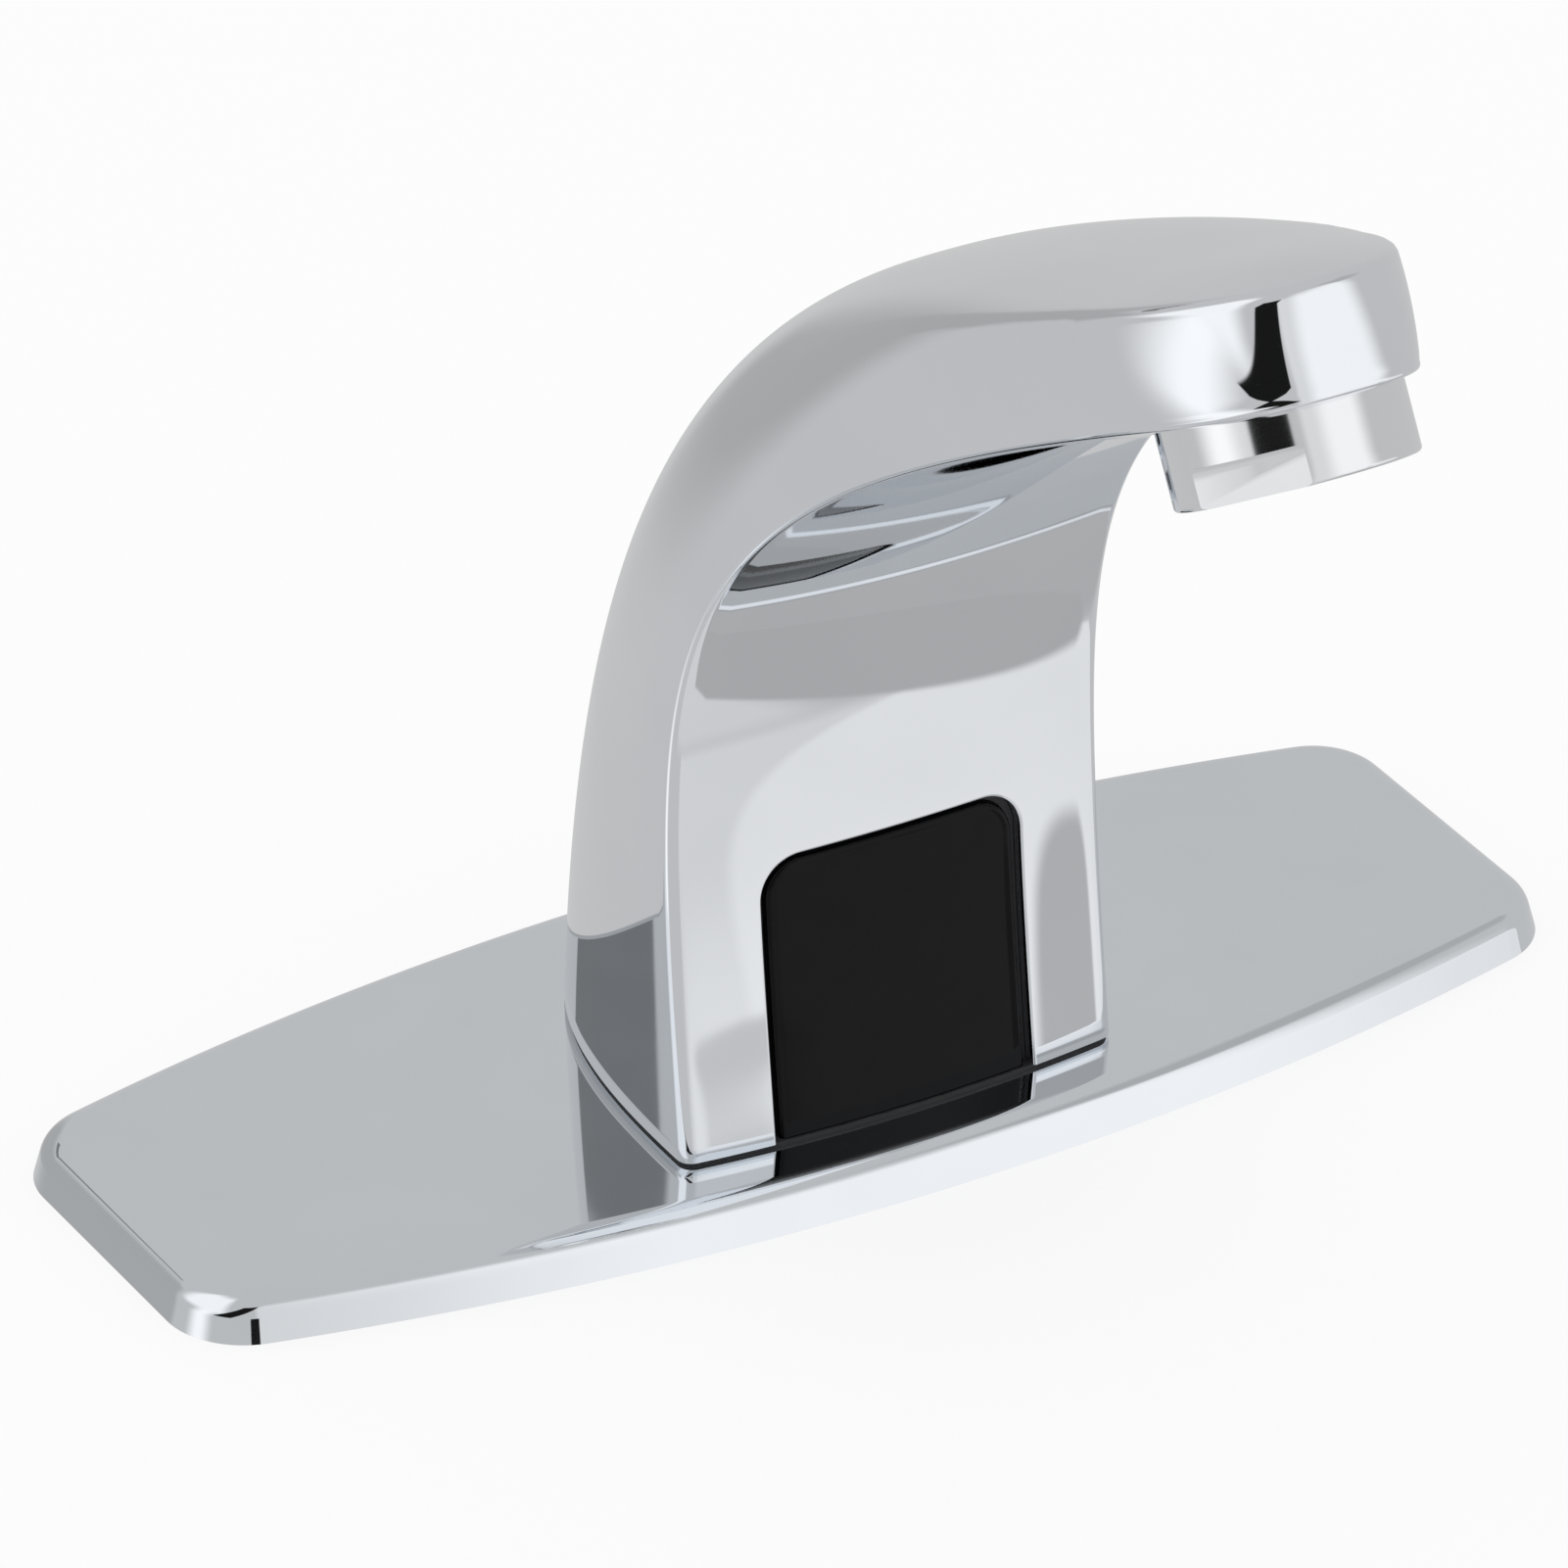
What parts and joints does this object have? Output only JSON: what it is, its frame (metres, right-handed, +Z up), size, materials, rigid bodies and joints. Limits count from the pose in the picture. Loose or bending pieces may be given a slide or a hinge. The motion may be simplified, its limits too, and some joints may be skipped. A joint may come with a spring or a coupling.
{
  "type": "sensor tap",
  "caption": "One-piece chromed sensor tap with a slanting spout on a long bowed deck plate, a black sensor window in its foot and a tilted aerator at the outlet.",
  "frame": {"origin": "centre of the deck plate's underside, on the deck, on the axis of the tap hole", "axes": "+Z up from the deck, -Y forwards along the spout to the basin, +X to the side, along the deck plate"},
  "size_m": [0.16, 0.1352, 0.137],
  "materials": {
    "chromed_body": "polished",
    "chromed_plate": "polished",
    "chromed_ring": "polished",
    "black_window": "gloss, clear to infrared",
    "black_rubber": "matt",
    "foam": "closed-cell foam",
    "brass": "machined",
    "steel": "drawn",
    "white_plastic": "moulded",
    "winding": "enamelled copper wire",
    "black_plastic": "moulded",
    "board": "solder mask",
    "emitter": "clear tinted",
    "receiver": "dark filter",
    "led": "diffused",
    "regulator": "moulded"
  },
  "bodies": {
    "tap": {"spout_body": "chromed_body", "deck_plate": "chromed_plate", "deck_gasket": "foam", "body_gasket": "black_rubber", "base_block": "brass", "base_screws": "steel", "lead_grommet": "black_rubber", "inlet_filter": "steel", "inlet_tube": "brass", "tube_seals": "black_rubber", "support_post": "steel", "valve_body": "white_plastic", "valve_cover": "white_plastic", "valve_screws": "steel", "piston_spring": "steel", "core_tube": "steel", "coil_bobbin": "white_plastic", "coil_winding": "winding", "coil_shell": "steel", "plunger_spring": "steel", "outlet_tube": "brass", "sensor_window": "black_window", "window_seal": "black_rubber", "sensor_housing": "black_plastic", "housing_lid": "black_plastic", "housing_screws": "steel", "sensor_board": "board", "ir_emitter": "emitter", "ir_receiver": "receiver", "status_led": "led", "light_baffle": "black_plastic", "module_bracket": "steel", "bracket_screws": "steel"},
    "aerator": {"aerator_shell": "chromed_ring", "aerator_insert": "white_plastic", "flow_regulator": "regulator", "aerator_screen": "steel"},
    "aerator_carriage": {"aerator_washer": "black_rubber"},
    "plunger": {"plunger": "steel", "plunger_seal": "black_rubber"},
    "piston": {"valve_piston": "white_plastic", "piston_seal": "black_rubber"}
  },
  "joints": [
    {"name": "aerator_travel", "type": "slide", "parent": "tap", "child": "aerator_carriage", "axis": [0, -0.5, -0.866], "range_m": [0, 0.005]},
    {"name": "aerator_turn", "type": "hinge", "parent": "aerator_carriage", "child": "aerator", "pos_m": [0, -0.0897, 0.11945], "axis": [0, -0.5, -0.866], "range_deg": [0, 1800]},
    {"name": "plunger_lift", "type": "slide", "parent": "tap", "child": "plunger", "axis": [0, 0, -1], "range_m": [0, 0.0015], "stiffness_N_per_m": 250, "springref_m": -0.002, "deforming": ["plunger_spring"]},
    {"name": "piston_lift", "type": "slide", "parent": "tap", "child": "piston", "axis": [0, 0, -1], "range_m": [0, 0.0025], "stiffness_N_per_m": 100, "springref_m": -0.002, "deforming": ["piston_spring"]}
  ],
  "couplings": [
    {"joint": "aerator_travel", "follows": "aerator_turn", "m_per_rad": 0.00015915},
    {"joint": "piston_lift", "follows": "plunger_lift", "ratio": 1.6666}
  ]
}
